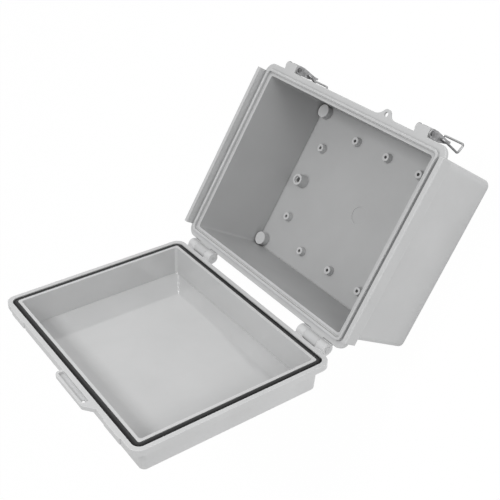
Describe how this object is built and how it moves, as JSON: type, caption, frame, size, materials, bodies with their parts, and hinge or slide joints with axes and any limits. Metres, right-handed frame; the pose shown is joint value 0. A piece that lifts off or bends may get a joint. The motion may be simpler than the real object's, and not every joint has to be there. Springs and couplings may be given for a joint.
{
  "type": "weatherproof electrical box",
  "caption": "Weatherproof plastic electrical box with a hinged sealed cover and steel draw latches, shown open.",
  "frame": {"origin": "centre of the body's flat back face", "axes": "+X along the hinge line, +Y from the hinges to the latches, +Z out of the back face towards the opening"},
  "size_m": [0.23, 0.3025, 0.2409],
  "materials": {
    "moulded_plastic": "fine satin moulding",
    "cover_plastic": "fine satin moulding",
    "seal_rubber": "matt",
    "pin_plastic": "satin",
    "latch_steel": "bright rolled sheet",
    "wire_steel": "drawn wire"
  },
  "bodies": {
    "body": {"body_shell": "moulded_plastic", "hinge_pin_left": "pin_plastic", "hinge_pin_right": "pin_plastic", "latch_pin_left": "latch_steel", "latch_pin_right": "latch_steel"},
    "cover": {"cover_shell": "cover_plastic", "gasket": "seal_rubber"},
    "lever_left": {"latch_lever_left": "latch_steel"},
    "lever_right": {"latch_lever_right": "latch_steel"},
    "bail_left": {"latch_bail_left": "wire_steel"},
    "bail_right": {"latch_bail_right": "wire_steel"}
  },
  "joints": [
    {"name": "cover_hinge", "type": "hinge", "parent": "body", "child": "cover", "pos_m": [0, -0.09263, 0.0826], "axis": [1, 0, 0], "range_deg": [-121.75, 0], "deforming": ["gasket"]},
    {"name": "latch_left", "type": "hinge", "parent": "body", "child": "lever_left", "pos_m": [-0.082, 0.0912, 0.0786], "axis": [1, 0, 0], "range_deg": [0, 95]},
    {"name": "bail_left_swing", "type": "hinge", "parent": "lever_left", "child": "bail_left", "pos_m": [-0.082, 0.0906, 0.0658], "axis": [-1, 0, 0], "range_deg": [-193.05, 0]},
    {"name": "latch_right", "type": "hinge", "parent": "body", "child": "lever_right", "pos_m": [0.0796, 0.0912, 0.0786], "axis": [1, 0, 0], "range_deg": [0, 95]},
    {"name": "bail_right_swing", "type": "hinge", "parent": "lever_right", "child": "bail_right", "pos_m": [0.0796, 0.0906, 0.0658], "axis": [-1, 0, 0], "range_deg": [-180, 13]}
  ]
}
